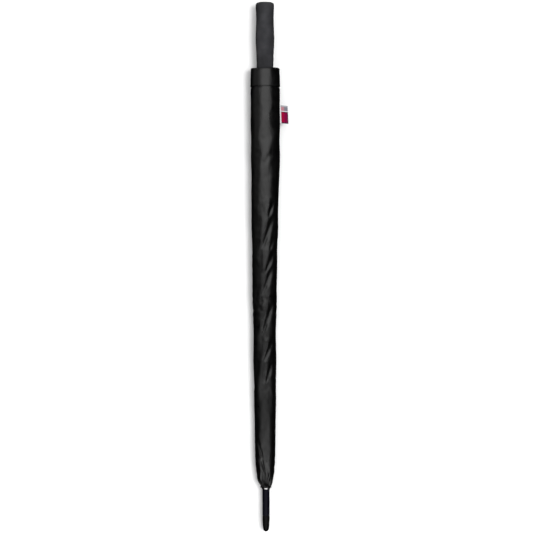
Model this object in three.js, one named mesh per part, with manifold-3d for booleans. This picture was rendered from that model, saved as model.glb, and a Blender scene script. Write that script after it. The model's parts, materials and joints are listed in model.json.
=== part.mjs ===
// A straight golf umbrella, furled and tied, in its black nylon storage sleeve.
// It lies on a flat surface with its handle towards +Y. Each piece is its own named mesh.
// Pieces are drawn in the umbrella's own frame: Z runs along the shaft from the tip to the
// handle, and -Y is the side that faces up once the umbrella lies down. Millimetres.

import * as THREE from 'three';
import { mergeVertices } from 'three/addons/utils/BufferGeometryUtils.js';
import Module from 'manifold-3d';

const wasm = await Module();
wasm.setup();

// ---- Driving dimensions ----

const GAP = 0.3; // clearance between pieces that touch
const RIB_COUNT = 8;
const RIB_PHASE = Math.PI / RIB_COUNT; // keeps the side that faces up clear of ribs
const UP = -Math.PI / 2; // angle round the shaft of the side that faces up

const SHAFT_R = 6.85;
const SHAFT_BORE_R = 5.7;
const SHAFT_START = 30.3;
const SHAFT_END = 980;

const CROWN_Z = 104;
const CROWN_HEIGHT = 16;
const CROWN_R = 10.4;
const CROWN_CAP = { r: 10, from: 95.5, to: 99.5 };
const COLLAR = { r: 7.9, from: 81.2, to: 86 };
const WIRE_R = 0.55; // the tie wires through the eyes of the ribs and stretchers
const GROOVE_DEPTH = 0.9; // how far a tie wire's centre lies above its groove's floor

const HANDLE_START = 858;
const HANDLE_END = 1006;
const CORE_R = 11;

const RIB_R = 1.6;
const RIB_START = { r: 9.9, z: 110 };
const RIB_END = { r: 15.5, z: 846 };
const TIP_R = 2.8;
const TIP_LENGTH = 13;

const STRETCHER_R = 1.2;
const STRETCHER_START = { r: 9.2, z: 447 };
const STRETCHER_END = { r: 10.4, z: 818 };
const JOINER_LENGTH = 14;

const RUNNER_START = 800;
const RUNNER_END = 850;
const RUNNER_R = 9.2;
const FLANGE_R = 12.6;
const FLANGE_START = 812;
const FLANGE_END = 826;

const BUTTON_Z = 838;
const BUTTON_TRAVEL = 1.5;
const CATCH_Z = 325;

const WALL = 1.5; // thickness of the sleeve's stand-in shell
const SLEEVE_SIDES = 16;
const WALL_STRIPS = 8;
const HEM_START = 845.5;
const SLEEVE_END = 880.5;
const REST_LOW = { r: 19.4, z: 154 }; // the sleeve rests on the straight line
const REST_HIGH = { r: 27.5, z: 760 }; // between these two stations
const MOUTH_R = 27.9;
const MOUTH_START = 800; // from here to the mouth the sleeve has one width
const BINDING = { inner: 8.5, outer: 10.2, from: 83.2, to: 85.7 };

const STRAP_Z = 790;
const STRAP_WIDTH = 22;

const ROUND = 24; // sides of small round pieces
const FINE = 40; // sides of round pieces that show

// ---- Materials ----

const material = (color, roughness, metalness = 0) =>
  new THREE.MeshStandardMaterial({ color, roughness, metalness });

const NYLON = material(0x17171a, 0.45);
const NYLON_EDGE = material(0x0e0e10, 0.6);
const CANOPY = material(0x1b1b20, 0.55);
const FOAM = material(0x303134, 0.85);
const PLASTIC = material(0x111114, 0.35);
const LACQUER = material(0x14141c, 0.25);
const FIBREGLASS = material(0x202024, 0.4);
const STEEL = material(0x8f9296, 0.35, 0.9);
const WOVEN = material(0xa01848, 0.7);

// ---- Shape helpers ----

const sleevePhase = Math.PI / SLEEVE_SIDES; // turns one flat side of the sleeve to face down
const umbrella = new THREE.Group();

function add(name, geometry, look, parent = umbrella) {
  const mesh = new THREE.Mesh(geometry, look);
  mesh.name = name;
  parent.add(mesh);
  return mesh;
}

// Turns a profile of [radius, z] points about Z. The profile runs anticlockwise round
// the section: up the outside, then down the inside.
function turned(profile, sides, phase = 0) {
  const points = profile.map(([r, z]) => new THREE.Vector2(r, z));
  const geometry = new THREE.LatheGeometry(points, sides);
  geometry.rotateX(Math.PI / 2);
  geometry.rotateZ(phase);
  return geometry;
}

const closed = (profile) => [...profile, profile[0]];

const ring = (inner, outer, from, to) =>
  closed([[inner, from], [outer, from], [outer, to], [inner, to]]);

// A box in cylinder terms: centred at angle, from radius r0 to r1 and from z0 to z1.
function block(angle, width, r0, r1, z0, z1) {
  const geometry = new THREE.BoxGeometry(r1 - r0, width, z1 - z0);
  geometry.translate((r0 + r1) / 2, 0, (z0 + z1) / 2);
  geometry.rotateZ(angle);
  return geometry;
}

function wireRing(radius, z) {
  const geometry = new THREE.TorusGeometry(radius, WIRE_R, 8, 32);
  geometry.translate(0, 0, z);
  return geometry;
}

// A straight round rod in the plane at angle, between two { r, z } stations.
function rod(radius, from, to, angle) {
  const start = new THREE.Vector3(from.r, 0, from.z);
  const end = new THREE.Vector3(to.r, 0, to.z);
  const along = end.clone().sub(start);
  const geometry = new THREE.CylinderGeometry(radius, radius, along.length(), 8);
  const turn = new THREE.Quaternion();
  turn.setFromUnitVectors(new THREE.Vector3(0, 1, 0), along.normalize());
  geometry.applyQuaternion(turn);
  geometry.translate((from.r + to.r) / 2, 0, (from.z + to.z) / 2);
  geometry.rotateZ(angle);
  return geometry;
}

function toSolid(geometry) {
  const bare = geometry.clone();
  bare.deleteAttribute('normal');
  bare.deleteAttribute('uv');
  const merged = mergeVertices(bare);
  const mesh = new wasm.Mesh({
    numProp: 3,
    vertProperties: new Float32Array(merged.attributes.position.array),
    triVerts: new Uint32Array(merged.index.array),
  });
  return new wasm.Manifold(mesh);
}

function toGeometry(solid) {
  const mesh = solid.getMesh();
  const geometry = new THREE.BufferGeometry();
  geometry.setAttribute('position', new THREE.BufferAttribute(mesh.vertProperties, 3));
  geometry.setIndex(new THREE.BufferAttribute(mesh.triVerts, 1));
  geometry.computeVertexNormals();
  return geometry;
}

function cut(geometry, ...tools) {
  let solid = toSolid(geometry);
  for (const tool of tools) solid = solid.subtract(toSolid(tool));
  return toGeometry(solid);
}

const ribAngles = Array.from(
  { length: RIB_COUNT },
  (_, i) => RIB_PHASE + (i * 2 * Math.PI) / RIB_COUNT,
);

// ---- Shaft, tip and crown ----

function addShaft() {
  const tube = turned(ring(SHAFT_BORE_R, SHAFT_R, SHAFT_START, SHAFT_END), ROUND);
  const catchSlot = block(UP, 2.6, 4, 9, CATCH_Z - 1, CATCH_Z + 13);
  add('shaft', cut(tube, catchSlot), LACQUER);
}

// The rounded cap on the point, with the spigot that plugs the shaft's bore.
function addFerruleCap() {
  const spigot = SHAFT_BORE_R - GAP;
  const cap = [
    [0, 0], [1.8, 0], [3.4, 0.9], [4.9, 2.8], [5.8, 6.4], [6.5, 16], [SHAFT_R, 27],
    [SHAFT_R, 30],
    [spigot, 30], [spigot, 48], [0, 48],
  ];
  add('ferrule_cap', turned(cap, ROUND), PLASTIC);
}

// The bright trim ring on the shaft, which just shows below the sleeve's gathered end.
function addCollar() {
  const collar = ring(SHAFT_R + GAP, COLLAR.r, COLLAR.from, COLLAR.to);
  add('shaft_collar', turned(collar, ROUND), STEEL);
}

// The crown holds the ribs' inner ends in slots, and a wire ring ties them in.
function addCrown() {
  const top = CROWN_Z + CROWN_HEIGHT;
  const groove = { r: 9.4, from: CROWN_Z + 1, to: CROWN_Z + 3.4 };
  const body = turned(closed([
    [SHAFT_R + GAP, CROWN_Z], [CROWN_R, CROWN_Z], [CROWN_R, groove.from],
    [groove.r, groove.from], [groove.r, groove.to], [CROWN_R, groove.to],
    [CROWN_R, top], [SHAFT_R + GAP, top],
  ]), ROUND);
  const slots = ribAngles.map((a) => block(a, 4, 8, 12, RIB_START.z - 1.5, top + 1));
  add('crown_notch', cut(body, ...slots), PLASTIC);
  add('crown_wire', wireRing(groove.r + GROOVE_DEPTH, (groove.from + groove.to) / 2), STEEL);
  const cap = ring(SHAFT_R + GAP, CROWN_CAP.r, CROWN_CAP.from, CROWN_CAP.to);
  add('crown_cap', turned(cap, ROUND), PLASTIC);
}

// ---- Ribs and stretchers ----

// A saddle over the rib, whose cheeks hold the stretcher's end.
function joinerGeometry(angle) {
  const cheek = 2.7;
  const inside = RIB_R + GAP;
  const section = new THREE.Shape([
    new THREE.Vector2(7.9, -cheek), new THREE.Vector2(15, -cheek),
    new THREE.Vector2(15, cheek), new THREE.Vector2(7.9, cheek),
    new THREE.Vector2(7.9, inside), new THREE.Vector2(14.3, inside),
    new THREE.Vector2(14.3, -inside), new THREE.Vector2(7.9, -inside),
  ]);
  const options = { depth: JOINER_LENGTH, bevelEnabled: false };
  const geometry = new THREE.ExtrudeGeometry(section, options);
  geometry.translate(0, 0, STRETCHER_START.z - 4);
  geometry.rotateZ(angle);
  return geometry;
}

// The moulded cap on a rib's free end, where the canopy's corner is sewn on.
function ribTipGeometry(angle) {
  const from = RIB_END.z - 7;
  const bore = RIB_R + GAP;
  const cap = closed([
    [bore, from], [TIP_R, from], [TIP_R, from + TIP_LENGTH - 2],
    [TIP_R - 1, from + TIP_LENGTH], [0, from + TIP_LENGTH],
    [0, RIB_END.z + GAP + 0.4], [bore, RIB_END.z + GAP + 0.4],
  ]);
  const geometry = turned(cap, 12);
  geometry.translate(RIB_END.r, 0, 0);
  geometry.rotateZ(angle);
  return geometry;
}

function addRibs() {
  ribAngles.forEach((angle, i) => {
    const n = i + 1;
    add(`rib_${n}`, rod(RIB_R, RIB_START, RIB_END, angle), FIBREGLASS);
    add(`rib_tip_${n}`, ribTipGeometry(angle), PLASTIC);
    add(`stretcher_${n}`, rod(STRETCHER_R, STRETCHER_START, STRETCHER_END, angle), STEEL);
    add(`joiner_${n}`, joinerGeometry(angle), PLASTIC);
  });
}

// ---- Runner, its button and the catch that holds it open ----

function addRunner() {
  const bore = SHAFT_R + 0.35;
  const groove = { r: 11.3, from: 821, to: 824 };
  const body = turned(closed([
    [bore, RUNNER_START], [RUNNER_R, RUNNER_START], [RUNNER_R, FLANGE_START],
    [FLANGE_R, FLANGE_START], [FLANGE_R, groove.from], [groove.r, groove.from],
    [groove.r, groove.to], [FLANGE_R, groove.to], [FLANGE_R, FLANGE_END],
    [RUNNER_R, FLANGE_END], [RUNNER_R, RUNNER_END], [bore, RUNNER_END],
  ]), ROUND);
  const slots = ribAngles.map((a) => (
    block(a, 3.2, 8.6, 14, FLANGE_START - 1, STRETCHER_END.z + 1.5)));
  const pocket = block(UP, 5.6, 5, 12, BUTTON_Z - 5.3, BUTTON_Z + 5.3);
  add('runner', cut(body, ...slots, pocket), PLASTIC);
  add('runner_wire', wireRing(groove.r + GROOVE_DEPTH, (groove.from + groove.to) / 2), STEEL);

  const seat = SHAFT_R + BUTTON_TRAVEL + GAP;
  add('runner_button', block(UP, 5, seat, 11.8, BUTTON_Z - 5, BUTTON_Z + 5), STEEL);
}

// A stamped wedge in the shaft's slot. The runner rides over it and rests on its step.
function addOpenCatch() {
  const wedge = new THREE.Shape([
    new THREE.Vector2(3.4, 0), new THREE.Vector2(3.4, 12), new THREE.Vector2(5, 12),
    new THREE.Vector2(9, 10.5), new THREE.Vector2(9, 9.5), new THREE.Vector2(6.2, 1),
    new THREE.Vector2(5.2, 0),
  ].reverse());
  const geometry = new THREE.ExtrudeGeometry(wedge, { depth: 2, bevelEnabled: false });
  geometry.translate(0, 0, -1);
  geometry.rotateX(Math.PI / 2); // the wedge's second coordinate becomes Z
  geometry.translate(0, 0, CATCH_Z);
  geometry.rotateZ(UP);
  add('open_catch', geometry, STEEL);
}

// ---- Canopy and its tie strap ----

// The fabric furled round the ribs, as one plain thick-walled tube that necks in at the crown.
function addCanopy() {
  const outer = [
    [7.4, 100.4], [11, 101], [13.1, 106], [14.2, 112], [14.7, 122],
    [15.9, REST_LOW.z], [24, REST_HIGH.z], [24.3, 800], [24.3, RIB_END.z],
  ];
  const inner = [
    [19.5, RIB_END.z], [16.3, 440], [12.7, REST_LOW.z], [11.9, 112], [11.4, 105],
    [10.8, 103.6], [7.4, 103.2],
  ];
  add('canopy', turned(closed([...outer, ...inner]), SLEEVE_SIDES, sleevePhase), CANOPY);

  const from = STRAP_Z - STRAP_WIDTH / 2;
  const strap = ring(24.6, 25.4, from, from + STRAP_WIDTH);
  add('tie_strap', turned(strap, SLEEVE_SIDES, sleevePhase), CANOPY);
}

// ---- Handle ----

function addHandle() {
  const coreTop = 1000;
  add('handle_core', turned([
    [0, SHAFT_END + 1], [SHAFT_R + GAP, SHAFT_END + 1], [SHAFT_R + GAP, HANDLE_START],
    [CORE_R, HANDLE_START], [CORE_R, coreTop], [0, coreTop],
  ], ROUND), PLASTIC);

  const swell = [
    [15.6, HANDLE_START], [16.4, 860], [16.4, 872], [16, 886], [16.1, 897], [16.7, 911],
    [17.5, 924], [17.8, 936], [17.5, 949], [16.9, 963], [16.6, 975], [16.9, 986],
    [17.4, 996], [17.4, 1000], [16.6, 1003.6], [15, 1005],
  ];
  const capSeat = 14.2;
  const bore = CORE_R + GAP;
  const inside = [
    [capSeat, 1005], [capSeat, coreTop], [bore, coreTop], [bore, HANDLE_START],
  ];
  add('handle_grip', turned(closed([...swell, ...inside]), FINE), FOAM);

  const capR = capSeat - GAP;
  const cap = [
    [0, coreTop + GAP], [capR, coreTop + GAP], [capR, 1005.2], [capR - 0.8, HANDLE_END],
    [0, HANDLE_END],
  ];
  add('handle_end_cap', turned(cap, FINE), FOAM);
}

// ---- Storage sleeve ----

// A wedge along the shaft, as wide as one strip of the sleeve's wall less the gap.
function stripWedge(angle) {
  const half = Math.PI / WALL_STRIPS;
  const far = 1.5 * MOUTH_R;
  const section = new THREE.Shape([
    new THREE.Vector2(0, 0),
    new THREE.Vector2(far, -far * Math.tan(half)),
    new THREE.Vector2(far, far * Math.tan(half)),
  ]);
  const geometry = new THREE.ExtrudeGeometry(section, { depth: SLEEVE_END, bevelEnabled: false });
  geometry.translate(GAP / 2 / Math.sin(half), 0, 0);
  geometry.rotateZ(angle);
  return geometry;
}

// The sleeve's long wall is in strips side by side, so that its hollow stays open in
// collision. The toe, where its end is drawn in, is one piece.
function addSleeve() {
  const wall = turned(closed([
    [REST_LOW.r, REST_LOW.z], [REST_HIGH.r, REST_HIGH.z], [MOUTH_R, MOUTH_START],
    [MOUTH_R, HEM_START - GAP], [MOUTH_R - WALL, HEM_START - GAP],
    [MOUTH_R - WALL, MOUTH_START],
    [REST_HIGH.r - WALL, REST_HIGH.z], [REST_LOW.r - WALL, REST_LOW.z],
  ]), SLEEVE_SIDES, sleevePhase);
  const whole = toSolid(wall);
  for (let i = 0; i < WALL_STRIPS; i += 1) {
    const wedge = toSolid(stripWedge((i * 2 * Math.PI) / WALL_STRIPS));
    add(`sleeve_wall_${i + 1}`, toGeometry(whole.intersect(wedge)), NYLON);
  }

  const toeEnd = REST_LOW.z - GAP;
  const toe = closed([
    [9, 86], [12, 90], [14.6, 97], [16.6, 107], [17.9, 122], [REST_LOW.r, toeEnd],
    [REST_LOW.r - WALL, toeEnd], [16.4, 122], [15.1, 109], [13.1, 99.5], [10.6, 92.5],
    [8.6, 88.5],
  ]);
  add('sleeve_toe', turned(toe, SLEEVE_SIDES, sleevePhase), NYLON);

  const hem = ring(MOUTH_R - WALL, MOUTH_R, HEM_START, SLEEVE_END);
  add('sleeve_hem', turned(hem, SLEEVE_SIDES, sleevePhase), NYLON_EDGE);
  const binding = ring(BINDING.inner, BINDING.outer, BINDING.from, BINDING.to);
  add('sleeve_end_binding', turned(binding, ROUND), NYLON_EDGE);
}

// The folded woven tag in the sleeve's side seam.
function addLabel() {
  const label = { from: 28.2, to: 44.6, low: 777.5, high: 811.5, thickness: 1.2 };
  const geometry = block(0, label.thickness, label.from, label.to, label.low, label.high);
  add('label_tag', geometry, WOVEN);
}

addShaft();
addFerruleCap();
addCollar();
addCrown();
addRibs();
addRunner();
addOpenCatch();
addCanopy();
addHandle();
addSleeve();
addLabel();

// ---- Lay it down ----

// The sleeve tapers towards the tip, so the shaft leans by the taper of its lowest flat side.
const taper = (REST_HIGH.r - REST_LOW.r) / (REST_HIGH.z - REST_LOW.z);
const lean = Math.atan(taper * Math.cos(Math.PI / SLEEVE_SIDES));
umbrella.rotation.x = lean - Math.PI / 2;

const laid = new THREE.Group();
laid.add(umbrella);
laid.updateMatrixWorld(true);

// The origin is on the surface, under the middle of the box round the whole umbrella.
const box = new THREE.Box3().setFromObject(laid, true);
const middle = box.getCenter(new THREE.Vector3());
umbrella.position.set(-middle.x, -middle.y, -box.min.z);

export default laid;
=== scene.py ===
"""A furled golf umbrella in its black nylon sleeve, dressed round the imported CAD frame.

Shapes are drawn in the umbrella's own frame, in millimetres: Z runs along the shaft from the
tip to the handle, and angles go round the shaft from the side seam (0) to the side that
faces up (90 degrees). place() turns that into metres in the row frame.
"""

import json
import math

import bmesh
import bpy
import numpy as np
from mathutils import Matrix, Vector


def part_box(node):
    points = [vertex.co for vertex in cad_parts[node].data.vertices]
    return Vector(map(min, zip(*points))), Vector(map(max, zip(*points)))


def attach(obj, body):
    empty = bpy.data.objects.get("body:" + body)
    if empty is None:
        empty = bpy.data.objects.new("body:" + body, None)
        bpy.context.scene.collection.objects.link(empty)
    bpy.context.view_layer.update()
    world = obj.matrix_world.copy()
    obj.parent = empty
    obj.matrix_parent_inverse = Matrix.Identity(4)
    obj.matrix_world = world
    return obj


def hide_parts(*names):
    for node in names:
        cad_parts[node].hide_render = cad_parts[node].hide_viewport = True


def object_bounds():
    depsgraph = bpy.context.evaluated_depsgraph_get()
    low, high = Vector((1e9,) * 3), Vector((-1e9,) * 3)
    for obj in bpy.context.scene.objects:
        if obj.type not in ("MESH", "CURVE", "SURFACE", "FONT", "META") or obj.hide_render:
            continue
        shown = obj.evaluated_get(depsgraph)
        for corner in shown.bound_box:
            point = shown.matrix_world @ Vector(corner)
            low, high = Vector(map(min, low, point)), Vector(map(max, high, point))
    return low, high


MM = 0.001
TURN = 2 * math.pi
SEED = 11

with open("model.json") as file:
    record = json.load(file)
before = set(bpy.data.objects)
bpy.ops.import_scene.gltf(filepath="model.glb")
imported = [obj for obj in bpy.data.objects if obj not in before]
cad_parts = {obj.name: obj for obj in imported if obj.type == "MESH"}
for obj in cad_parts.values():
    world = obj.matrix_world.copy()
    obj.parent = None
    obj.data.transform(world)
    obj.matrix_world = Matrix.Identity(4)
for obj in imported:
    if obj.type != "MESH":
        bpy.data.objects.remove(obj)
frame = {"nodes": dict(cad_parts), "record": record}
cad_box = [list(corner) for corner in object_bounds()]

# ---------------------------------------------------------------- the umbrella's own frame


def own_frame():
    """The shaft's direction, the side that faces up, and the point at the tip, in metres."""
    mounts = {m["name"]: m for m in frame["record"]["mounts"]}
    along = Vector(mounts["handle_end"]["axis"]).normalized()
    up = Vector((1, 0, 0)).cross(along)
    low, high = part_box("shaft")
    middle = Vector(mounts["handle_end"]["pos_m"])
    middle.x = (low.x + high.x) / 2
    cap = frame["nodes"]["ferrule_cap"].data.vertices
    tip = min(v.co.dot(along) for v in cap)
    origin = middle + along * (tip - middle.dot(along))
    return np.array(along), np.array(up), np.array(origin)


ALONG, UP, ORIGIN = own_frame()


def station(node):
    """Where a CAD node starts and ends along the shaft, in millimetres from the tip."""
    points = np.array([v.co for v in frame["nodes"][node].data.vertices])
    z = (points - ORIGIN) @ ALONG / MM
    return float(z.min()), float(z.max())


def reach(node):
    """A CAD node's largest radius from the shaft's centre line, in millimetres."""
    points = (np.array([v.co for v in frame["nodes"][node].data.vertices]) - ORIGIN) / MM
    radial = points - np.outer(points @ ALONG, ALONG)
    return float(np.linalg.norm(radial, axis=1).max())


def place(x, up, z):
    """Own-frame coordinates in millimetres, as arrays of one shape, to points in metres."""
    across = np.array((1.0, 0.0, 0.0))
    local = x[..., None] * across + up[..., None] * UP + z[..., None] * ALONG
    return ORIGIN + local * MM


def smoothstep(low, high, value):
    """0 up to low and 1 from high on, or 1 first and then 0 where low is the larger."""
    t = np.clip((value - low) / (high - low), 0, 1)
    return t * t * (3 - 2 * t)


def between(value, start, full, fading, end):
    """1 from full to fading, and 0 outside start and end, with soft slopes."""
    return smoothstep(start, full, value) * smoothstep(end, fading, value)


def bell(value, middle, spread):
    """1 at middle, falling smoothly away on both sides."""
    return np.exp(-(((value - middle) / spread) ** 2))


# ---------------------------------------------------------------- mesh helpers


def grid_piece(name, points, body, material, uv=None, wrap_u=True, wrap_v=False):
    """A smooth mesh from a grid of points, rows first. wrap_u closes each row on itself."""
    rows, columns = points.shape[:2]
    index = np.arange(rows * columns).reshape(rows, columns)
    right = np.roll(index, -1, axis=1) if wrap_u else index[:, 1:]
    base = index if wrap_u else index[:, :-1]
    if wrap_v:
        quads = (base, right, np.roll(right, -1, axis=0), np.roll(base, -1, axis=0))
    else:
        quads = (base[:-1], right[:-1], right[1:], base[1:])
    faces = np.stack([q.ravel() for q in quads], axis=1)
    mesh = bpy.data.meshes.new(name)
    mesh.from_pydata(points.reshape(-1, 3).tolist(), [], faces.tolist())
    if uv is not None:
        layer = mesh.uv_layers.new(name="Cloth")
        flat = uv.reshape(-1, 2)
        loops = np.zeros(len(mesh.loops), np.int32)
        mesh.loops.foreach_get("vertex_index", loops)
        coords = flat[loops]
        if wrap_u:
            coords = unwrap_seam(coords, flat, columns)
        layer.data.foreach_set("uv", coords.astype(np.float32).ravel())
    mesh.shade_smooth()
    return finish_piece(name, mesh, body, material)


def unwrap_seam(coords, flat, columns):
    """Where a face runs over the join of the rows, its far corners go one turn further on."""
    corners = coords.reshape(-1, 4, 2).copy()
    span = flat[:, 0].max() - flat[:, 0].min()
    lowest = corners[:, :, 0].min(axis=1)
    broken = corners[:, :, 0].max(axis=1) - lowest > span / 2
    step = span * columns / (columns - 1)
    near = corners[:, :, 0] - lowest[:, None] < span / 2
    corners[:, :, 0] += step * (near & broken[:, None])
    return corners.reshape(-1, 2)


def finish_piece(name, mesh, body, material):
    piece = bpy.data.objects.new(name, mesh)
    bpy.context.scene.collection.objects.link(piece)
    mesh.materials.append(material)
    make_normals_face_out(mesh)
    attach(piece, body)
    return piece


def make_normals_face_out(mesh):
    work = bmesh.new()
    work.from_mesh(mesh)
    bmesh.ops.recalc_face_normals(work, faces=work.faces)
    work.to_mesh(mesh)
    work.free()


def thicken(piece, millimetres, offset=-1):
    shell = piece.modifiers.new("thickness", "SOLIDIFY")
    shell.thickness = millimetres * MM
    shell.offset = offset
    return piece


def turned(name, profile, body, material, sides=72, closed=False):
    """A turned piece from [radius, z] stations: a closed loop, or an open run with flat caps."""
    radius = np.array([p[0] for p in profile], float)[:, None]
    z = np.array([p[1] for p in profile], float)[:, None]
    theta = np.linspace(0, TURN, sides, endpoint=False)[None, :]
    points = place(radius * np.cos(theta), radius * np.sin(theta), z + 0 * theta)
    piece = grid_piece(name, points, body, material, wrap_v=closed)
    if not closed:
        cap_ends(piece.data, sides, len(profile))
    return piece


def cap_ends(mesh, sides, rows):
    work = bmesh.new()
    work.from_mesh(mesh)
    work.verts.ensure_lookup_table()
    for row in (0, rows - 1):
        loop = [work.verts[row * sides + i] for i in range(sides)]
        work.faces.new(loop)
    bmesh.ops.recalc_face_normals(work, faces=work.faces)
    work.to_mesh(mesh)
    work.free()


def through(stations, count):
    """A smooth run of [radius, z] points through the stations, by a Catmull-Rom curve."""
    p = np.array(stations, float)
    p = np.vstack([2 * p[0] - p[1], p, 2 * p[-1] - p[-2]])
    out = []
    for i in range(1, len(p) - 2):
        for t in np.linspace(0, 1, count, endpoint=False):
            a, b, c, d = p[i - 1 : i + 3]
            out.append(
                0.5 * (2 * b + (c - a) * t + (2 * a - 5 * b + 4 * c - d) * t**2
                       + (3 * b - a - 3 * c + d) * t**3)
            )
    out.append(p[-2])
    return [list(q) for q in out]


# ---------------------------------------------------------------- materials


class Nodes:
    """A short way to build a material's node tree round its Principled shader."""

    def __init__(self, name):
        self.material = bpy.data.materials.new(name)
        self.material.use_nodes = True
        self.tree = self.material.node_tree
        self.shader = self.tree.nodes["Principled BSDF"]

    def add(self, kind, **settings):
        node = self.tree.nodes.new(f"ShaderNode{kind}")
        for key, value in settings.items():
            if key in node.inputs:
                node.inputs[key].default_value = value
            else:
                setattr(node, key, value)
        return node

    def link(self, source, target):
        self.tree.links.new(source, target)

    def set(self, **values):
        for key, value in values.items():
            self.shader.inputs[key.replace("_", " ")].default_value = value

    def ramp(self, source, low, high, first, last):
        """Maps source from low..high to two greys or colours."""
        node = self.add("ValToRGB")
        node.color_ramp.elements[0].position = low
        node.color_ramp.elements[1].position = high
        node.color_ramp.elements[0].color = colour(first)
        node.color_ramp.elements[1].color = colour(last)
        self.link(source, node.inputs["Fac"])
        return node.outputs["Color"]

    def mix(self, share, first, last):
        """first where share is 0, last where it is 1. Each is a socket or a colour."""
        node = self.add("MixRGB")
        self.link(share, node.inputs["Fac"])
        for value, key in ((first, "Color1"), (last, "Color2")):
            if isinstance(value, tuple):
                node.inputs[key].default_value = colour(value)
            else:
                self.link(value, node.inputs[key])
        return node.outputs["Color"]

    def scaled(self, source, scale):
        node = self.add("Mapping")
        node.inputs["Scale"].default_value = scale
        self.link(source, node.inputs["Vector"])
        return node.outputs["Vector"]

    def noise(self, vector, scale, detail=3.0):
        node = self.add("TexNoise", Scale=scale, Detail=detail)
        self.link(vector, node.inputs["Vector"])
        return node.outputs["Fac"]

    def bump(self, height, strength, distance, before=None):
        node = self.add("Bump", Strength=strength, Distance=distance)
        self.link(height, node.inputs["Height"])
        if before is not None:
            self.link(before, node.inputs["Normal"])
        return node.outputs["Normal"]


def colour(value):
    return (value, value, value, 1) if isinstance(value, float) else (*value, 1)


WAVE_PITCH = 0.314  # metres from band to band of the wave texture at a scale of 1


def cloth_material(name, dark, light, rough_low, rough_high, sheen, thread_mm, specular=0.5):
    """Woven nylon: threads both ways, pulled slightly uneven, with soft small creases."""
    crease_scale = (150, 38, 1)  # a crease is about four times as long as it is wide
    crease_strength, crease_depth = 0.55, 1.1 * MM
    thread_strength, thread_depth = 0.35, 0.06 * MM
    n = Nodes(name)
    uv = n.add("UVMap", uv_map="Cloth").outputs["UV"]
    weave = []
    for axis in ("X", "Y"):
        wave = n.add("TexWave", wave_type="BANDS", bands_direction=axis)
        wave.inputs["Scale"].default_value = WAVE_PITCH / (thread_mm * MM)
        wave.inputs["Distortion"].default_value = 0.4
        n.link(uv, wave.inputs["Vector"])
        weave.append(wave.outputs["Fac"])
    threads = n.add("Math", operation="MAXIMUM")
    n.link(weave[0], threads.inputs[0])
    n.link(weave[1], threads.inputs[1])
    creases = n.noise(n.scaled(uv, crease_scale), scale=1.0, detail=4.0)
    mottle = n.noise(uv, scale=55.0, detail=5.0)
    n.link(n.ramp(mottle, 0.3, 0.75, dark, light), n.shader.inputs["Base Color"])
    n.link(n.ramp(mottle, 0.3, 0.7, rough_low, rough_high), n.shader.inputs["Roughness"])
    soft = n.bump(creases, crease_strength, crease_depth)
    woven = n.bump(threads.outputs[0], thread_strength, thread_depth, soft)
    n.link(woven, n.shader.inputs["Normal"])
    n.set(Sheen_Weight=sheen, Sheen_Roughness=0.45, Specular_IOR_Level=specular)
    return n.material


def foam_material():
    """Closed-cell foam: dark grey, matt, with fine cells and a faint scuffed bloom."""
    n = Nodes("foam_grip")
    where = n.add("TexCoord").outputs["Object"]
    bloom = n.noise(where, scale=38.0, detail=6.0)
    dark, light = (0.0145, 0.0145, 0.0165), (0.041, 0.041, 0.045)
    n.link(n.ramp(bloom, 0.32, 0.72, dark, light), n.shader.inputs["Base Color"])
    n.link(n.ramp(bloom, 0.3, 0.7, 0.78, 0.93), n.shader.inputs["Roughness"])
    cells = n.add("TexVoronoi", Scale=1500.0, Randomness=1.0)
    n.link(where, cells.inputs["Vector"])
    grain = n.bump(n.noise(where, scale=420.0, detail=4.0), strength=0.35, distance=0.0003)
    pitted = n.bump(cells.outputs["Distance"], strength=0.45, distance=0.00015, before=grain)
    n.link(pitted, n.shader.inputs["Normal"])
    n.set(Specular_IOR_Level=0.2)
    return n.material


def moulded_material(name, dark, light, rough_low, rough_high, metallic=0.0, specular=0.5):
    """Moulded plastic, lacquer or plated steel, with a fine orange peel and faint rubbing."""
    n = Nodes(name)
    where = n.add("TexCoord").outputs["Object"]
    rubbed = n.noise(where, scale=60.0, detail=6.0)
    n.link(n.ramp(rubbed, 0.35, 0.7, dark, light), n.shader.inputs["Base Color"])
    n.link(n.ramp(rubbed, 0.35, 0.7, rough_low, rough_high), n.shader.inputs["Roughness"])
    peel = n.noise(where, scale=700.0, detail=2.0)
    n.link(n.bump(peel, strength=0.12, distance=0.0002), n.shader.inputs["Normal"])
    n.set(Metallic=metallic, Specular_IOR_Level=specular)
    return n.material


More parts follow.
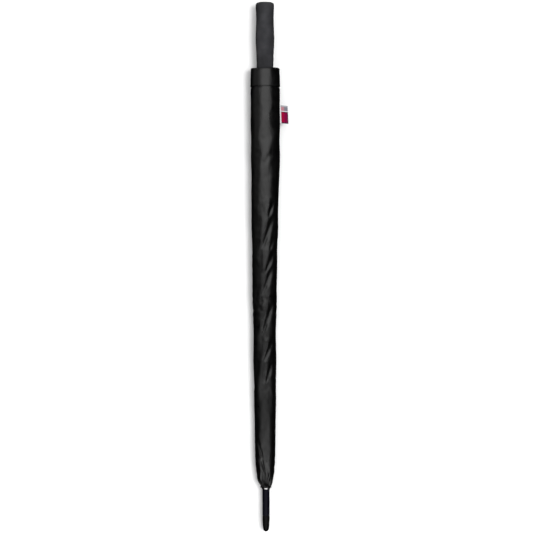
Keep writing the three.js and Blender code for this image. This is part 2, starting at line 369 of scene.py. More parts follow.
def label_material():
    """A woven tag: a white ground by the seam, pale blocks above and dark red blocks below."""
    white, pale, grey = (0.62, 0.62, 0.63), (0.31, 0.31, 0.33), (0.16, 0.16, 0.19)
    pink, crimson, plum = (0.37, 0.16, 0.19), (0.25, 0.001, 0.028), (0.15, 0.001, 0.036)
    dark = (0.022, 0.006, 0.026)
    # Each edge is where one block gives way to the next: across the tag, then up it.
    ground_edge, hue_edge, outer_edge = (0.19, 0.22), (0.54, 0.6), (0.88, 0.94)
    foot_edge, lower_edge, middle_edge = (0.04, 0.08), (0.60, 0.63), (0.65, 0.66)
    upper_edge, head_edge = (0.69, 0.7), (0.91, 0.93)
    n = Nodes("woven_label")
    uv = n.add("UVMap", uv_map="Cloth").outputs["UV"]
    parts = n.add("SeparateXYZ")
    n.link(uv, parts.inputs[0])
    across, height = parts.outputs["X"], parts.outputs["Y"]
    lower = n.ramp(across, *hue_edge, crimson, plum)
    lower = n.mix(n.ramp(across, *outer_edge, 0.0, 1.0), lower, dark)
    lower = n.mix(n.ramp(height, *foot_edge, 1.0, 0.0), lower, dark)
    lower = n.mix(n.ramp(height, *lower_edge, 0.0, 1.0), lower, dark)
    upper = n.ramp(across, *hue_edge, pink, grey)
    upper = n.mix(n.ramp(height, *head_edge, 0.0, 1.0), upper, pale)
    upper = n.mix(n.ramp(height, *upper_edge, 1.0, 0.0), upper, white)
    both = n.mix(n.ramp(height, *middle_edge, 0.0, 1.0), lower, upper)
    whole = n.mix(n.ramp(across, *ground_edge, 1.0, 0.0), both, white)
    wave = n.add("TexWave", wave_type="BANDS", bands_direction="DIAGONAL")
    wave.inputs["Scale"].default_value = 14.0
    n.link(uv, wave.inputs["Vector"])
    n.link(whole, n.shader.inputs["Base Color"])
    ribs = n.bump(wave.outputs["Fac"], strength=0.4, distance=0.0001)
    n.link(ribs, n.shader.inputs["Normal"])
    n.set(Roughness=0.75, Specular_IOR_Level=0.05)
    return n.material


NYLON = cloth_material("sleeve_nylon", 0.0010, 0.0026, 0.27, 0.38, 0.0, 0.45)
CANOPY = cloth_material("canopy_fabric", 0.002, 0.005, 0.4, 0.54, 0.01, 0.4)
TAPE = cloth_material("binding_tape", 0.0015, 0.004, 0.6, 0.75, 0.0, 0.7, 0.3)
FOAM = foam_material()
PLASTIC = moulded_material("black_plastic", 0.0015, 0.004, 0.3, 0.46, specular=0.06)
LACQUER = moulded_material(
    "shaft_lacquer", (0.0015, 0.0015, 0.004), (0.003, 0.003, 0.0075), 0.32, 0.46, specular=0.08
)
GLASS_FIBRE = moulded_material("fibreglass", 0.012, 0.022, 0.4, 0.55)
STEEL = moulded_material("steel", 0.42, 0.58, 0.24, 0.42, metallic=1.0)
THREAD = moulded_material("thread", 0.004, 0.009, 0.6, 0.75)
LABEL = label_material()

# ---------------------------------------------------------------- camera, light and floor

IMAGE_PIXELS = 533
PIXEL_MM = 1.9  # the size at which the umbrella fills the frame from end to end
SHAFT_LEFT_OF_MIDDLE_MM = 2.0
UMBRELLA_BELOW_MIDDLE_MM = 1.9
UMBRELLA_TURNED_DEG = 0.126


def add_camera(scene):
    """Straight above the umbrella, which it shows at PIXEL_MM a pixel."""
    distance = 3.2
    lens = bpy.data.cameras.new("camera")
    lens.sensor_width = 36
    lens.lens = lens.sensor_width * distance / (IMAGE_PIXELS * PIXEL_MM * MM)
    camera = bpy.data.objects.new("camera", lens)
    middle = (Vector(cad_box[0]) + Vector(cad_box[1])) / 2
    camera.location = (
        ORIGIN[0] + SHAFT_LEFT_OF_MIDDLE_MM * MM,
        middle.y + UMBRELLA_BELOW_MIDDLE_MM * MM,
        middle.z + distance,
    )
    camera.rotation_euler = (0, 0, -math.radians(UMBRELLA_TURNED_DEG))
    scene.collection.objects.link(camera)
    scene.camera = camera


def add_floor(scene):
    """A pale sheet that takes the shadow. It neither shows in the gloss nor lights the umbrella."""
    mesh = bpy.data.meshes.new("floor")
    half = 30.0
    corners = [(-half, -half, 0), (half, -half, 0), (half, half, 0), (-half, half, 0)]
    mesh.from_pydata(corners, [], [(0, 1, 2, 3)])
    floor = bpy.data.objects.new("floor", mesh)
    paper = Nodes("paper")
    paper.set(Base_Color=(0.86, 0.86, 0.86, 1), Roughness=0.95, Specular_IOR_Level=0.1)
    mesh.materials.append(paper.material)
    scene.collection.objects.link(floor)
    floor.visible_glossy = False
    floor.visible_diffuse = False


def set_stage():
    scene = bpy.context.scene
    scene.view_settings.view_transform = "Standard"
    add_camera(scene)
    add_floor(scene)
    scene.world = studio_world()
    add_lights(scene)


def studio_world():
    """Light mostly from overhead, weaker from low down. Little comes from below."""
    strength, low_grey, white_from = 0.95, 0.04, 0.9
    world = bpy.data.worlds.new("studio")
    world.use_nodes = True
    tree = world.node_tree
    background = tree.nodes["Background"]
    background.inputs["Strength"].default_value = strength
    parts = tree.nodes.new("ShaderNodeSeparateXYZ")
    ramp = tree.nodes.new("ShaderNodeValToRGB")
    ramp.color_ramp.elements[0].color = colour(low_grey)
    ramp.color_ramp.elements[1].position = white_from
    tree.links.new(tree.nodes.new("ShaderNodeTexCoord").outputs["Generated"], parts.inputs[0])
    tree.links.new(parts.outputs["Z"], ramp.inputs["Fac"])
    tree.links.new(ramp.outputs["Color"], background.inputs["Color"])
    world.cycles_visibility.glossy = False
    return world


def soft_box(name, width, watts, across, height, tilt_deg, glossy=True, length=3.0, shift=0.0):
    """A long soft light beside or over the umbrella, for its gloss only or its shading only.
    shift moves it towards the handle."""
    light = bpy.data.lights.new(name, "AREA")
    light.shape = "RECTANGLE"
    light.size, light.size_y = width, length
    light.energy = watts
    box = bpy.data.objects.new(name, light)
    middle = (Vector(cad_box[0]) + Vector(cad_box[1])) / 2
    box.location = middle + Vector((across, shift, height))
    box.rotation_euler = (0, math.radians(tilt_deg), 0)
    bpy.context.scene.collection.objects.link(box)
    box.visible_camera = False
    box.visible_diffuse = not glossy
    box.visible_glossy = glossy


def add_lights(scene):
    """A soft key from the label's side throws the shadow. Three soft boxes give the sheen, and
    a wash from the other side lights the matt parts."""
    key = bpy.data.lights.new("key", "SUN")
    key.energy = 2.3
    key.angle = math.radians(25)
    tilt = math.radians(18)
    sun = bpy.data.objects.new("key", key)
    sun.rotation_euler = (0, tilt, 0)
    scene.collection.objects.link(sun)
    sun.visible_glossy = False
    over = {"width": 2.4, "across": 0.04, "height": 1.5, "tilt_deg": 2}
    soft_box("overhead", watts=28.7, length=2.0, shift=0.95, **over)
    soft_box("overhead_toe", watts=19.6, length=1.1, shift=-1.2, **over)
    soft_box(
        "fill", width=1.7, watts=2.6, across=-1.7, height=0.5, tilt_deg=-74, length=1.7, shift=1.05
    )
    soft_box("wash", width=1.8, watts=5, across=-1.5, height=0.95, tilt_deg=-58, glossy=False)


set_stage()

# ---------------------------------------------------------------- sizes that pieces share

PANELS = 8
CANOPY_START, CANOPY_END = station("canopy")
STRAP_LOW, STRAP_HIGH = station("tie_strap")
STRAP_MIDDLE = (STRAP_LOW + STRAP_HIGH) / 2
CANOPY_STATIONS = [
    [8.4, CANOPY_START], [10.6, 101.8], [12.2, 106], [13.0, 113], [13.6, 124], [14.5, 154],
    [16.3, 320], [18.3, 470], [20.2, 600], [21.9, 700], [22.7, 770], [22.4, 790],
    [22.9, 812], [21.8, 832], [20.3, CANOPY_END],
]

# ---------------------------------------------------------------- the storage sleeve

SLEEVE_START = station("sleeve_toe")[0]
HEM_START, HEM_END = station("sleeve_hem")
MOUTH_R = reach("sleeve_hem")
LEAST_HEIGHT_MM = 0.3  # how far cloth stays above the surface it lies on
TOE_END = 130  # where the cloth has opened out from the gathered end
FULL_FROM = 720  # from here to the mouth the sleeve is well filled and its folds fade out
SAG_SIDEWAYS = 1.7  # how far the slack part of the sleeve lies towards its unseamed side
CLEAR_OF_CANOPY = 0.8  # the least gap between the cloth and the canopy
CREASE_BEND = 2.6  # the most that a crease bows from a straight line, in millimetres
BEND_SCATTER = 1.7  # makes each crease's bow its own
HALF_WAVE = 3.1  # the bow from one end of a crease to the other, in radians
CREASE_WIDE, CREASE_NARROW = 1.75, 0.65  # its spread where it starts and ends, over its width
LIP_HEIGHT = 0.4  # over the crease's depth
LIP_AWAY, LIP_SPREAD = 2.4, 1.7  # over the crease's spread
COARSE_FOLDS, FINE_PLEATS = 9, 21  # round the gathered end

SLEEVE_STATIONS = [
    [9.1, SLEEVE_START], [10.9, 88.6], [13.0, 93.5], [15.0, 100], [16.4, 108], [17.6, 120],
    [18.6, 136], [19.3, 160], [19.7, 190], [20.2, 240], [20.7, 290], [21.3, 350],
    [22.0, 410], [23.0, 470], [24.0, 540], [24.9, 600], [26.0, 660], [27.0, 720],
    [27.5, 770], [27.3, 800], [27.6, 830], [27.4, HEM_START],
]

# The creases that twist across the side that faces up, and the shallow ones beside them. Each
# is an angle in degrees and a station where it starts wide, the same where it ends narrow, and
# its depth and width in millimetres.
CREASES = [
    (50, 735, 100, 690, 1.0, 5.5), (42, 632, 74, 596, 2.2, 3.2), (42, 600, 108, 538, 2.5, 3.7),
    (44, 560, 68, 532, 0.8, 2.4), (38, 536, 90, 491, 2.4, 3.6), (46, 503, 105, 453, 2.3, 3.3),
    (46, 438, 104, 372, 2.4, 3.5), (114, 416, 88, 402, 0.4, 2.6), (44, 368, 97, 320, 2.1, 3.2),
    (40, 322, 92, 281, 2.0, 3.0), (129, 178, 108, 138, 1.1, 2.0),
    (110, 142, 90, 106, 1.5, 1.8), (118, 560, 150, 520, 0.8, 3.0), (120, 470, 146, 430, 0.8, 3.0),
    (124, 330, 150, 296, 0.7, 3.0), (10, 640, 46, 606, 0.9, 3.2), (4, 560, 40, 522, 0.9, 3.2),
    (2, 470, 38, 430, 0.9, 3.2), (6, 392, 40, 352, 0.9, 3.2), (8, 300, 42, 262, 0.8, 3.0),
]


def unseen_creases():
    """More of the same twist on the sides and underneath, from a seeded draw."""
    draw = np.random.default_rng(SEED)
    made = []
    for z in np.arange(700, 190, -34):
        start = draw.uniform(175, 330)
        length = draw.uniform(35, 62)
        drop = length * draw.uniform(0.55, 0.95)
        top = z + draw.uniform(-12, 12)
        made.append((start, top, start + length, top - drop, draw.uniform(0.7, 1.3), 2.8))
    return made


UNSEEN = unseen_creases()


def profile_radius(stations, z):
    table = np.array(through(stations, 6))
    return np.interp(z, table[:, 1], table[:, 0])


def crease_field(theta, z, creases):
    """How far the creases push the cloth in, and the lip above each one pushes it out."""
    push = np.zeros_like(z)
    for start, top, end, low, depth, width in creases:
        middle = math.radians((start + end) / 2)
        turned_by = (theta - middle + math.pi) % TURN - math.pi
        scale = float(profile_radius(SLEEVE_STATIONS, (top + low) / 2))
        run = np.array((math.radians(end - start) * scale, low - top))
        length = np.linalg.norm(run)
        run = run / length
        side = np.array((-run[1], run[0]))
        s = turned_by * scale
        h = z - (top + low) / 2
        along = s * run[0] + h * run[1]
        off = s * side[0] + h * side[1]
        bend = CREASE_BEND * math.sin(BEND_SCATTER * top)
        off = off + bend * np.sin(along / length * HALF_WAVE)
        share = along / length + 0.5
        fade = between(share, -0.05, 0.2, 0.66, 1.02)
        spread = width * (CREASE_WIDE - (CREASE_WIDE - CREASE_NARROW) * np.clip(share, 0, 1))
        valley = bell(off, 0, spread)
        lip = bell(off, LIP_AWAY * spread, LIP_SPREAD * spread)
        push += fade * depth * (LIP_HEIGHT * lip - valley)
    return push


def soft_waves(theta, z, count, seed, size):
    """A slow, uneven swell: a seeded sum of waves that climb as they go round."""
    draw = np.random.default_rng(seed)
    total = np.zeros_like(z)
    for _ in range(count):
        round_it = draw.integers(1, 7)
        pitch = draw.uniform(0.006, 0.05)
        phase = draw.uniform(0, TURN)
        total += np.sin(round_it * theta + pitch * z + phase)
    return total * size / math.sqrt(count)


def twist_waves(theta, z):
    """The slow folds that wind round the sleeve, all leaning the way its creases do."""
    draw = np.random.default_rng(SEED)
    total = np.zeros_like(z)
    waves = 9
    for _ in range(waves):
        round_it = draw.integers(1, 5)
        pitch = round_it * draw.uniform(0.010, 0.024)
        total += np.sin(round_it * theta + pitch * z + draw.uniform(0, TURN))
    return total / math.sqrt(waves)


def rumple(theta, z):
    """Fine crumpling: faint all over, stronger in one patch and at the gathered end."""
    draw = np.random.default_rng(SEED + 5)
    total = np.zeros_like(z)
    waves, usual_radius, size = 18, 23, 0.4
    for _ in range(waves):
        heading, length = draw.uniform(0, math.pi), draw.uniform(9, 20)
        round_it = round(TURN * usual_radius * math.cos(heading) / length)
        climb = TURN * math.sin(heading) / length
        total += np.sin(round_it * theta + climb * z + draw.uniform(0, TURN))
    patch = bell(z, 428, 22)
    where = 0.22 + 0.4 * patch + 0.3 * smoothstep(160, 110, z)
    return size * where * total / math.sqrt(waves)


def rest_on_surface(points):
    """Cloth that would pass through the surface lies on it instead."""
    points[..., 2] = np.maximum(points[..., 2], LEAST_HEIGHT_MM * MM)
    return points


def cloth_uv(theta, z, radius):
    """Metres round the cloth at its mean radius, and along it."""
    return np.stack([theta * float(np.mean(radius)) * MM + 0 * z, z * MM + 0 * theta], axis=-1)


def flat_top(theta, z):
    """How much the slack cloth lies flat along the side that faces up. Past the toe the flat
    turns away from the seam, and is shallower and narrower."""
    past_toe = smoothstep(200, 300, z)
    middle = math.radians(91) + math.radians(14) * past_toe
    depth = 2.1 - 0.4 * past_toe
    half_width = 0.58 - 0.08 * past_toe
    return depth * between(z, 92, 118, 560, 690) * bell(theta, middle, half_width)


def slump(theta, z):
    """How far the cloth falls in beside its top, just past the last long crease."""
    depth, angle, half_width = 2.5, math.radians(62), 0.4
    middle, half_length = 254, 26
    return depth * bell(theta, angle, half_width) * bell(z, middle, half_length)


def sleeve_surface(theta, z):
    """Own-frame x and up of the cloth at each angle and station."""
    belly = between(z, TOE_END, 220, FULL_FROM, HEM_START)
    twist = 0.55 * twist_waves(theta, z) * (0.2 + 0.8 * belly)
    hem_pinch = 0.95 * bell(z, HEM_START, 1.9)
    radius = profile_radius(SLEEVE_STATIONS, z) + crease_field(theta, z, CREASES + UNSEEN)
    radius = radius + twist + rumple(theta, z) + gathers(theta, z) + seam_ridge(theta)
    radius = radius - flat_top(theta, z) - slump(theta, z) - hem_pinch
    sideways = SAG_SIDEWAYS * between(z, 84, 100, 600, FULL_FROM)
    x = radius * np.cos(theta) - sideways
    up = radius * np.sin(theta)
    inside = profile_radius(CANOPY_STATIONS, z) + CLEAR_OF_CANOPY
    grow = np.maximum(1, inside / np.hypot(x, up))
    return x * grow, up * grow


def make_sleeve():
    sides, toe_rows, other_rows = 192, 60, 500
    theta = np.linspace(0, TURN, sides, endpoint=False)[None, :]
    toe = np.linspace(SLEEVE_START, TOE_END, toe_rows, endpoint=False)
    under_the_hem = HEM_START + 1.2
    z = np.concatenate([toe, np.linspace(TOE_END, under_the_hem, other_rows)])[:, None]
    theta, z = np.broadcast_arrays(theta, z)
    base = profile_radius(SLEEVE_STATIONS, z)
    x, up = sleeve_surface(theta, z)
    points = rest_on_surface(place(x, up, z))
    sleeve = grid_piece("sleeve_cloth", points, "sleeve", NYLON, cloth_uv(theta, z, base))
    thicken(sleeve, 0.35)
    walls = [name for name in frame["nodes"] if name.startswith("sleeve_wall_")]
    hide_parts("sleeve_toe", *walls)
    return sleeve


def gathers(theta, z):
    """The pleats where the sleeve's end is drawn in round the shaft."""
    draw = np.random.default_rng(SEED + 1)
    near = smoothstep(140, 92, z)
    bunch = smoothstep(114, 94, z)
    wander = 0.5 * np.sin(3 * theta + z * 0.05) + 0.3 * np.sin(5 * theta - z * 0.11)
    coarse = np.sin(COARSE_FOLDS * theta + wander * 2 + draw.uniform(0, TURN))
    fine = 2 * np.abs(np.sin(FINE_PLEATS / 2 * theta - wander * 2.2 + z * 0.05)) - 1.2
    coarse_depth, fine_depth, drawn_in = 0.6, 0.85, 0.9
    return near * coarse_depth * coarse + bunch * fine_depth * fine - near * drawn_in


def seam_ridge(theta):
    """The side seam: a flat-felled ridge along the side at angle 0."""
    proud, foot, crest = 0.55, 0.11, 0.06  # millimetres, then radians from its middle
    away = np.abs((theta + math.pi) % TURN - math.pi)
    return proud * smoothstep(foot, crest, away)


def make_hem():
    """The mouth's folded band: along the outside, round the mouth's edge and back inside."""
    sides = 132
    theta = np.linspace(0, TURN, sides, endpoint=False)
    fold, outside_run, inside_run = 0.6, 26, 28
    within_cad, drawn_in, puckers, pucker_depth = 0.55, 0.5, 44, 0.07
    outside = [(0.0, HEM_START + 0.2), (fold, HEM_START + 0.6), (fold + 0.1, HEM_START + 2)]
    outside += [(fold - 0.15 * t, HEM_START + 4 + outside_run * t) for t in np.linspace(0, 1, 14)]
    edge = [(fold - 0.3, HEM_END - 0.5), (-0.15, HEM_END), (-0.6, HEM_END - 0.5)]
    inside = [(-0.75, HEM_END - 3 - inside_run * t) for t in np.linspace(0, 1, 12)]
    lift, z = np.array(outside + edge + inside).T
    theta, z = np.broadcast_arrays(theta[None, :], z[:, None])
    top = smoothstep(HEM_START, HEM_END, z)
    radius = MOUTH_R - within_cad - drawn_in * top + lift[:, None]
    radius = radius + soft_waves(theta, z, 8, SEED + 2, 0.15) + 0.8 * seam_ridge(theta)
    pucker = np.sin(puckers * theta + 1.5 * np.sin(5 * theta))
    radius = radius + pucker_depth * pucker * smoothstep(HEM_END, HEM_START, z)
    z = z + top * (0.5 * np.sin(2 * theta + 0.6) + 0.35 * np.sin(3 * theta))
    points = place(radius * np.cos(theta), radius * np.sin(theta), z)
    uv = cloth_uv(theta, z, radius)
    hem = grid_piece("sleeve_hem_band", rest_on_surface(points), "sleeve", NYLON, uv)
    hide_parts("sleeve_hem")
    return hem


def stitches(name, places, body, length=2.5, thick=0.28):
    """Short rounded threads in one mesh. Each place is (point, direction, outward), in metres."""
    ring, across = 6, 5
    verts, faces = [], []
    for point, direction, outward in places:
        side = np.cross(direction, outward)
        first = len(verts)
        for i in range(across):
            t = i / (across - 1) * 2 - 1
            girth = thick * MM * math.sqrt(max(0.05, 1 - t**4))
            bow = (1 - t * t) * 0.12 * MM
            centre = point + direction * (t * length / 2 * MM) + outward * bow
            for j in range(ring):
                a = TURN * j / ring
                verts.append(centre + girth * (math.cos(a) * side + math.sin(a) * outward))
        for i in range(across - 1):
            for j in range(ring):
                k = (j + 1) % ring
                a, b = first + i * ring, first + (i + 1) * ring
                faces.append((a + j, a + k, b + k, b + j))
        faces.append(tuple(first + j for j in reversed(range(ring))))
        faces.append(tuple(first + (across - 1) * ring + j for j in range(ring)))
    mesh = bpy.data.meshes.new(name)
    mesh.from_pydata([list(v) for v in verts], [], faces)
    mesh.shade_smooth()
    return finish_piece(name, mesh, body, THREAD)


def at(angle, radius, z):
    """A point, the outward direction and the way round, at one place on a round piece."""
    outward = np.array((math.cos(angle), 0, 0)) + math.sin(angle) * UP
    round_it = np.array((-math.sin(angle), 0, 0)) + math.cos(angle) * UP
    return ORIGIN + (outward * radius + ALONG * z) * MM, outward, round_it


def stitch_ring(name, body, radius, z, pitch=3.5):
    count = int(TURN * radius / pitch)
    places = []
    for i in range(count):
        point, outward, round_it = at(TURN * i / count, radius, z)
        if point[2] > 0.5 * MM:
            places.append((point, round_it, outward))
    return stitches(name, places, body)


def make_sleeve_stitching():
    rows = stitch_ring("hem_stitching", "sleeve", MOUTH_R + 0.02, HEM_START + 2.6)
    places = []
    angle, proud, pitch = 0.045, 0.06, 3.6
    z = np.arange(TOE_END + 2, HEM_START - 2, pitch)[:, None]
    x, up = sleeve_surface(np.full_like(z, angle), z)
    _, outward, _ = at(angle, 0, 0)
    for point in place(x, up, z)[:, 0]:
        places.append((point + outward * proud * MM, ALONG, outward))
    seam = stitches("seam_stitching", places, "sleeve")
    return [rows, seam]


def make_end_binding():
    """The covered elastic that draws the end in: a ruched ring round the shaft."""
    low, high = station("sleeve_end_binding")
    sides, rows = 96, 14
    theta = np.linspace(0, TURN, sides, endpoint=False)[None, :]
    turn = np.linspace(0, TURN, rows, endpoint=False)[:, None]
    ruche = 0.16 * np.sin(27 * theta) + 0.1 * np.sin(41 * theta + 1)
    ring_r, cord_r, stretch, shift = 9.35, 0.95, 1.25, 0.6
    girth = cord_r + ruche
    radius = ring_r + girth * np.cos(turn)
    z = (low + high) / 2 + shift + stretch * girth * np.sin(turn)
    points = place(radius * np.cos(theta), radius * np.sin(theta), z)
    uv = cloth_uv(theta + 0 * turn, z, radius)
    binding = grid_piece("end_binding_elastic", points, "sleeve", TAPE, uv, wrap_v=True)
    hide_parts("sleeve_end_binding")
    return binding


def make_label():
    """The woven tag: one strip folded double, its loop outwards, caught in the side seam."""
    low, high = station("label_tag")
    inner, outer = 26.9, 43.8
    rows, across = 40, 22
    lean, flare, strip = 0.09, 0.7, 2.15  # strip is the tag's cut length over its reach
    v = np.linspace(0, 1, rows)[:, None]
    t = np.linspace(0, 2, 2 * across)[None, :]
    out = np.where(t <= 1, t, 2 - t)
    leaf = np.where(t <= 1, 1.0, -1.0)
    half_gap = 0.42 * np.sqrt(np.clip(1 - out**6, 0, 1)) + 0.06
    curl = 1.1 * out**2 * np.sin(2.2 * v + 0.4) - 0.5 * out * v
    x = inner + (outer - inner) * out
    up = leaf * half_gap + curl
    z = low + (high - low) * v - lean * (x - inner) + 0 * t
    x = x + flare * (1 - v) - flare * v
    points = place(x + 0 * v, up, z)
    uv = np.stack([out + 0 * v, v + 0 * t], axis=-1)
    tag = grid_piece("label_woven", points, "sleeve", LABEL, uv, wrap_u=False)
    thicken(tag, 0.3, 0)
    tag.visible_glossy = False
    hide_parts("label_tag")


def make_whole_sleeve():
    """One tapered length of nylon, seamed down one side, hemmed at the mouth and gathered."""
    sleeve = make_sleeve()
    trim = [make_hem(), *make_sleeve_stitching(), make_end_binding()]


make_whole_sleeve()
make_label()

# ---------------------------------------------------------------- handle, shaft and point

HANDLE_START = station("handle_grip")[0]
HANDLE_END = station("handle_end_cap")[1]
GRIP_TOP = station("handle_grip")[1]
CAP_R = reach("handle_end_cap")
SHAFT_R = reach("shaft")


def make_grip():
    bore = 11.4
    outside = through([
        [15.7, HANDLE_START + 0.4], [16.3, HANDLE_START + 2.2], [16.4, 872], [16.0, 886],
        [16.1, 897], [16.7, 911], [17.4, 924], [17.7, 936], [17.5, 949], [16.9, 963],
        [16.6, 975], [16.9, 986], [17.4, 996], [17.4, 1000.4], [16.9, 1003.4],
        [15.9, GRIP_TOP - 0.2], [14.9, GRIP_TOP],
    ], 8)
    inside = [
        [CAP_R + 0.35, GRIP_TOP - 0.3], [CAP_R + 0.3, GRIP_TOP - 4.6], [bore, GRIP_TOP - 4.8],
        [bore, HANDLE_START + 0.3], [14.8, HANDLE_START],
    ]
    profile = np.array(outside + inside)
    sides = 120
    theta = np.linspace(0, TURN, sides, endpoint=False)[None, :]
    z = profile[:, 1][:, None] + 0 * theta
    radius = profile[:, 0][:, None] + 0 * theta
    skin = (np.arange(len(profile)) < len(outside))[:, None]
    radius = radius + skin * soft_waves(theta, z * 4, 10, SEED + 3, 0.07)
    points = place(radius * np.cos(theta), radius * np.sin(theta), z)
    grip = grid_piece("handle_foam", points, "umbrella", FOAM, wrap_v=True)
    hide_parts("handle_grip")


def make_end_cap():
    low = station("handle_end_cap")[0]
    profile = [
        [CAP_R - 0.4, low], [CAP_R, low + 0.4], [CAP_R, HANDLE_END - 1.4],
        [CAP_R - 0.35, HANDLE_END - 0.55], [CAP_R - 1.0, HANDLE_END - 0.08],
        [CAP_R - 1.6, HANDLE_END], [9.2, HANDLE_END], [8.9, HANDLE_END - 0.25],
        [8.5, HANDLE_END - 0.25], [8.2, HANDLE_END], [0.8, HANDLE_END],
    ]
    cap = turned("handle_end_disc", profile, "umbrella", FOAM, 96)
    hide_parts("handle_end_cap")


def make_shaft():
    low, high = station("shaft")
    profile = [[SHAFT_R - 0.25, low], [SHAFT_R - 0.02, low + 0.35]]
    profile += [[SHAFT_R, z] for z in np.linspace(low + 1.2, high, 40)]
    bore = 5.7
    profile += [[bore, high], [bore, low]]
    shaft = turned("shaft_tube", profile, "umbrella", LACQUER, 72, closed=True)
    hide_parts("shaft")


def make_ferrule():
    high = station("shaft")[0] - 0.3
    profile = through([
        [0.4, 0.0], [1.5, 0.15], [2.9, 0.8], [4.2, 2.0], [5.1, 3.8], [5.7, 6.4], [6.1, 10],
        [6.5, 16.5], [6.75, 22], [SHAFT_R, 27], [SHAFT_R, high - 1.2], [SHAFT_R - 0.3, high],
    ], 5)
    plug_r, plug_end = 5.35, high + 17.5
    profile += [[plug_r, high], [plug_r, plug_end], [0.6, plug_end]]
    ferrule = turned("ferrule_point", profile, "umbrella", PLASTIC, 72)
    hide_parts("ferrule_cap")


def make_collar():
    """The plated trim ring, with rounded edges."""
    low, high = station("shaft_collar")
    outer, inner, edge = reach("shaft_collar"), SHAFT_R + 0.05, 0.4
    profile = [
        [inner, low], [outer - edge, low], [outer - 0.1, low + 0.12], [outer, low + edge],
        [outer, high - edge], [outer - 0.1, high - 0.12], [outer - edge, high], [inner, high],
    ]
    collar = turned("collar_ring", profile, "umbrella", STEEL, 72, closed=True)
    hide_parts("shaft_collar")


make_grip()
make_end_cap()
make_shaft()
make_ferrule()
make_collar()

# ---------------------------------------------------------------- the furled canopy

LAYER = 1.25  # how much lower a panel lies where the next one covers it, in millimetres
TUCK = 0.7  # how far under a folded edge its return lies
CUT_BACK = 24  # how much sooner a panel ends at its folded edge
CROWN_END, HEM_FULL = 100, 830  # the furl winds between these stations
FURL_TWIST = math.radians(64)  # from the crown to the hem
WEAVE_PER_PANEL = 0.075  # metres of weave drawn across one panel, more than it measures
STRAP_R = 24.1


def panel_section():
    """One furled panel's section, as (share of a panel's width, depth in millimetres): the
    return under the folded edge, the fold itself, and the panel until the next one covers it."""
    under = [(p, TUCK) for p in np.linspace(0.45, 0.03, 7)]
    fold = [
        (0.012 - 0.018 * math.sin(a), TUCK / 2 + TUCK / 2 * math.cos(a))
        for a in np.linspace(0.3, math.pi - 0.3, 5)
    ]
    over = [(p, LAYER * p) for p in np.linspace(0.03, 1.28, 26)]
    return np.array(under + fold + over).T


def make_panel(number):
    share, depth = panel_section()
    rows = 150
    t = np.linspace(0, 1, rows)[:, None]
    # The hem is cut back between ribs, so a panel's folded edge ends short of its sewn side.
    end = CANOPY_END - CUT_BACK * (1 - smoothstep(0.0, 0.75, np.abs(share)))[None, :]
    z = CANOPY_START + (end - CANOPY_START) * t
    twist = FURL_TWIST * smoothstep(CROWN_END, HEM_FULL, z)
    theta = (number + share[None, :]) * TURN / PANELS + twist
    draw = np.random.default_rng(SEED + 20 + number)
    theta = theta + 0.05 * np.sin(z / 90 + draw.uniform(0, TURN)) * smoothstep(110, 260, z)
    loose = smoothstep(CROWN_END, 190, z)
    radius = profile_radius(CANOPY_STATIONS, z) - depth[None, :] * (0.35 + 0.65 * loose)
    swell = soft_waves(theta, z, 9, SEED + 40 + number, 0.2)
    puff = 0.55 * np.sin(np.clip(share, 0, 1) * math.pi)[None, :]
    pinch = bell(z, STRAP_MIDDLE, 22)
    radius = radius + loose * (swell + puff) * (1 - 0.8 * pinch)
    points = place(radius * np.cos(theta), radius * np.sin(theta), z)
    across = share * WEAVE_PER_PANEL
    uv = np.stack([across[None, :] + 0 * z, z * MM], axis=-1)
    panel = grid_piece(f"canopy_panel_{number + 1}", points, "umbrella", CANOPY, uv, wrap_u=False)
    thicken(panel, 0.16)
    return panel


def make_canopy():
    panels = [make_panel(i) for i in range(PANELS)]
    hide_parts("canopy")
    make_canopy_core()


def make_canopy_core():
    """The inner layers of the furled panels, which show only at the open end."""
    sides, rows = 96, 60
    within, layer_depth, layers = 2.4, 0.35, 16
    theta = np.linspace(0, TURN, sides, endpoint=False)[None, :]
    z = np.linspace(CANOPY_START + 1.5, CANOPY_END - 5, rows)[:, None]
    theta, z = np.broadcast_arrays(theta, z)
    radius = profile_radius(CANOPY_STATIONS, z) - within
    radius = radius + layer_depth * np.sin(layers * theta + z * 0.012) * smoothstep(110, 200, z)
    points = place(radius * np.cos(theta), radius * np.sin(theta), z)
    core = grid_piece("canopy_inner_layer", points, "umbrella", CANOPY, cloth_uv(theta, z, radius))
    thicken(core, 0.3)


def strap_wander(angle):
    """How far the strap's line strays along the shaft as it goes round."""
    return 0.35 * np.sin(2 * angle)


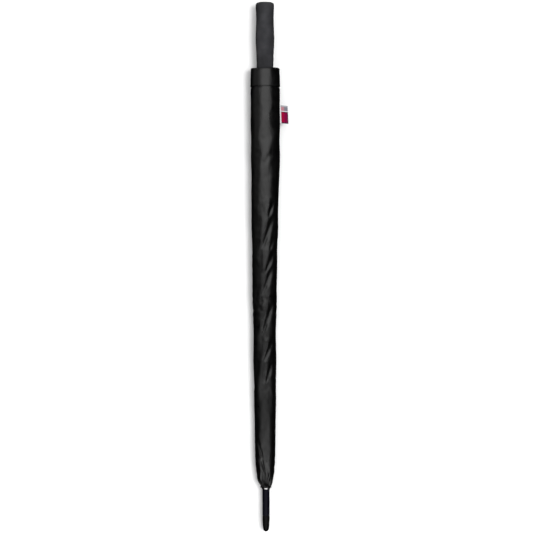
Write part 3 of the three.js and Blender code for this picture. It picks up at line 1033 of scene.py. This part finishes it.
def make_strap():
    """The tie strap: once round the furled canopy, its end lapped over itself."""
    rows, columns = 12, 150
    half = (STRAP_HIGH - STRAP_LOW) / 2 - 0.8
    start = math.radians(20)
    span = TURN + math.radians(62)
    t = np.linspace(0, 1, columns)[None, :]
    v = np.linspace(-1, 1, rows)[:, None]
    theta = start + span * t + 0 * v
    lap = smoothstep(TURN - 0.1, TURN + 0.2, span * t)
    lapped, rolled_edge = 0.75, 0.25
    radius = STRAP_R + lapped * lap - rolled_edge * v**4 + 0.1 * np.sin(7 * theta)
    taper = 1 - 0.45 * smoothstep(0.965, 1.0, t) ** 2
    z = STRAP_MIDDLE + half * v * taper + strap_wander(theta)
    points = place(radius * np.cos(theta), radius * np.sin(theta), z)
    strap = grid_piece(
        "tie_strap_band", points, "umbrella", CANOPY, cloth_uv(theta, z, radius), wrap_u=False
    )
    thicken(strap, 0.5)
    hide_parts("tie_strap")
    make_strap_stitching(start, span, half)


def make_strap_stitching(start, span, half):
    """A row along each edge, and one across where the hook-and-loop end is sewn on."""
    places = []
    first, pitch, in_a_row, from_edge = math.radians(6), math.radians(8), 44, 1.8
    for edge in (-1, 1):
        for i in range(in_a_row):
            angle = start + first + i * pitch
            z = STRAP_MIDDLE + edge * (half - from_edge) + strap_wander(angle)
            point, outward, round_it = at(angle, STRAP_R + 0.05, z)
            places.append((point, round_it, outward))
    box_pitch, box_angle = 3.4, start + span - math.radians(50)
    for z in np.arange(-half + box_pitch, half - 2.4, box_pitch):
        point, outward, _ = at(box_angle, STRAP_R + 0.85, STRAP_MIDDLE + z)
        places.append((point, ALONG, outward))
    rows = stitches("strap_stitching", places, "umbrella")


make_canopy()
make_strap()

# ---------------------------------------------------------------- CAD nodes that stay

FINISHES = {
    "black_plastic": PLASTIC, "steel": STEEL, "fibreglass": GLASS_FIBRE,
    "foam_grip": FOAM, "shaft_lacquer": LACQUER,
}


EDGE_MM = 0.12  # the small bevel on each CAD node that shows


def dress_cad_nodes():
    slots = {s["node"]: s["material_slot"] for s in frame["record"]["subparts"]}
    for name, node in frame["nodes"].items():
        if node.hide_render:
            continue
        node.data.materials.clear()
        node.data.materials.append(FINISHES[slots[name]])
        edge = node.modifiers.new("edge", "BEVEL")
        edge.width = EDGE_MM * MM
        edge.segments = 1
        edge.limit_method = "ANGLE"


dress_cad_nodes()
